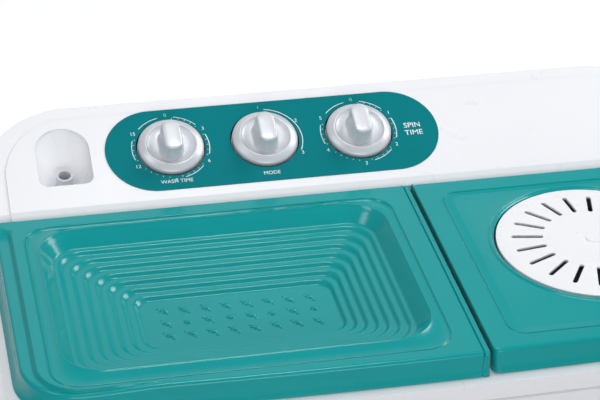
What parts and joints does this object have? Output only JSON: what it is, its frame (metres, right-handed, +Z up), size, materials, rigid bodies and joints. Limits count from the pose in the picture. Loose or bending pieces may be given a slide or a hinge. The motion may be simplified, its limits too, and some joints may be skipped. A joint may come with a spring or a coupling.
{
  "type": "twin tub washer",
  "caption": "Twin tub washing machine with a wash tub and a spin tub under hinged lids, a scrub tray in one lid and a sloping console with rotary knobs.",
  "frame": {"origin": "middle of the box's underside, on the surface the feet stand on", "axes": "+X to the user's right along the long side, +Y to the rear, +Z up"},
  "size_m": [0.78, 0.4559, 0.9296],
  "materials": {
    "white_plastic": "smooth gloss moulding",
    "cabinet_plastic": "smooth gloss moulding",
    "base_plastic": "fine moulded grain",
    "lid_teal": "glossy teal moulding",
    "panel_teal": "printed gloss sheet",
    "vent_white": "gloss moulding",
    "knob_silver": "satin silver paint",
    "tub_plastic": "moulded polypropylene",
    "basket_plastic": "moulded polypropylene",
    "inlet_grey": "moulded",
    "control_black": "moulded",
    "rubber_black": "matt rubber",
    "brake_lining": "pressed lining",
    "shaft_steel": "ground",
    "sheet_steel": "zinc coated sheet",
    "screw_steel": "bright zinc",
    "spring_steel": "oiled wire",
    "motor_metal": "die cast",
    "pulley_metal": "die cast",
    "cable_black": "sheath",
    "capacitor_shell": "moulded case",
    "strap_plastic": "flexible strap"
  },
  "bodies": {
    "cabinet_body": {"base_tray": "base_plastic", "rubber_feet": "rubber_black", "cabinet_shell": "cabinet_plastic", "rear_service_panel": "sheet_steel", "rear_panel_screws": "screw_steel", "top_cover": "white_plastic", "control_panel": "panel_teal", "wash_timer_body": "control_black", "selector_body": "control_black", "spin_timer_body": "control_black", "inlet_spigot": "inlet_grey", "inlet_duct": "tub_plastic", "filter_cover": "tub_plastic", "lint_filter": "tub_plastic", "wash_tub": "tub_plastic", "bearing_housing": "motor_metal", "v_belt": "rubber_black", "wash_motor_body": "motor_metal", "drive_plate": "sheet_steel", "motor_grommets": "rubber_black", "spin_outer_tub": "tub_plastic", "spin_seal": "rubber_black", "spin_motor_body": "motor_metal", "spin_motor_base": "sheet_steel", "suspension_springs": "spring_steel", "brake_bracket": "sheet_steel", "brake_cable": "cable_black", "motor_capacitor": "capacitor_shell", "drain_valve_body": "inlet_grey", "drain_hoses": "rubber_black", "drain_outlet_elbow": "inlet_grey", "wiring_harness": "cable_black", "cord_gland": "control_black", "internal_screws": "screw_steel"},
    "wash_lid_body": {"wash_lid": "lid_teal", "wash_lid_pins": "shaft_steel"},
    "spin_lid_body": {"spin_lid": "lid_teal", "spin_lid_pins": "shaft_steel", "spin_vent": "vent_white"},
    "wash_timer": {"wash_timer_knob": "knob_silver", "wash_timer_shaft": "shaft_steel"},
    "selector": {"selector_knob": "knob_silver", "selector_shaft": "shaft_steel"},
    "spin_timer": {"spin_timer_knob": "knob_silver", "spin_timer_shaft": "shaft_steel"},
    "pulsator_drive": {"pulsator": "basket_plastic", "pulsator_cap": "basket_plastic", "pulsator_shaft": "shaft_steel", "large_pulley": "pulley_metal"},
    "wash_motor_drive": {"wash_motor_rotor": "shaft_steel", "small_pulley": "pulley_metal"},
    "spin_drive": {"spin_basket": "basket_plastic", "press_disc": "basket_plastic", "spin_shaft": "shaft_steel", "brake_drum": "pulley_metal", "spin_motor_rotor": "shaft_steel"},
    "brake": {"brake_lever": "sheet_steel", "brake_shoe": "brake_lining"},
    "drain_valve": {"drain_valve_plunger": "inlet_grey", "drain_strap": "strap_plastic"}
  },
  "joints": [
    {"name": "wash_lid_hinge", "type": "hinge", "parent": "cabinet_body", "child": "wash_lid_body", "pos_m": [-0.16, 0.087, 0.863], "axis": [-1, 0, 0], "range_deg": [0, 95]},
    {"name": "spin_lid_hinge", "type": "hinge", "parent": "cabinet_body", "child": "spin_lid_body", "pos_m": [0.22, 0.087, 0.863], "axis": [-1, 0, 0], "range_deg": [0, 95]},
    {"name": "wash_timer_turn", "type": "hinge", "parent": "cabinet_body", "child": "wash_timer", "pos_m": [-0.1808, 0.16575, 0.89972], "axis": [0, 0.3786, -0.9255], "range_deg": [0, 300]},
    {"name": "selector_turn", "type": "hinge", "parent": "cabinet_body", "child": "selector", "pos_m": [-0.0798, 0.16575, 0.89972], "axis": [0, 0.3786, -0.9255], "range_deg": [0, 120]},
    {"name": "spin_timer_turn", "type": "hinge", "parent": "cabinet_body", "child": "spin_timer", "pos_m": [0.0227, 0.16575, 0.89972], "axis": [0, 0.3786, -0.9255], "range_deg": [0, 300]},
    {"name": "pulsator_spin", "type": "hinge", "parent": "cabinet_body", "child": "pulsator_drive", "pos_m": [-0.16, -0.059, 0.38], "axis": [0, 0, 1], "continuous": true},
    {"name": "wash_motor_spin", "type": "hinge", "parent": "cabinet_body", "child": "wash_motor_drive", "pos_m": [0.025, -0.059, 0.3], "axis": [0, 0, 1], "continuous": true},
    {"name": "basket_spin", "type": "hinge", "parent": "cabinet_body", "child": "spin_drive", "pos_m": [0.22, -0.044, 0.47], "axis": [0, 0, 1], "continuous": true},
    {"name": "brake_turn", "type": "hinge", "parent": "cabinet_body", "child": "brake", "pos_m": [0.283, 0.02, 0.22], "axis": [0, 0, -1], "range_deg": [0, 4.8]},
    {"name": "drain_lift", "type": "slide", "parent": "cabinet_body", "child": "drain_valve", "axis": [0, 0, 1], "range_m": [0, 0.0121]}
  ],
  "couplings": [
    {"joint": "wash_motor_spin", "follows": "pulsator_spin", "ratio": 4},
    {"joint": "brake_turn", "follows": "spin_lid_hinge", "ratio": 0.05},
    {"joint": "drain_lift", "follows": "selector_turn", "m_per_rad": 0.00573}
  ]
}
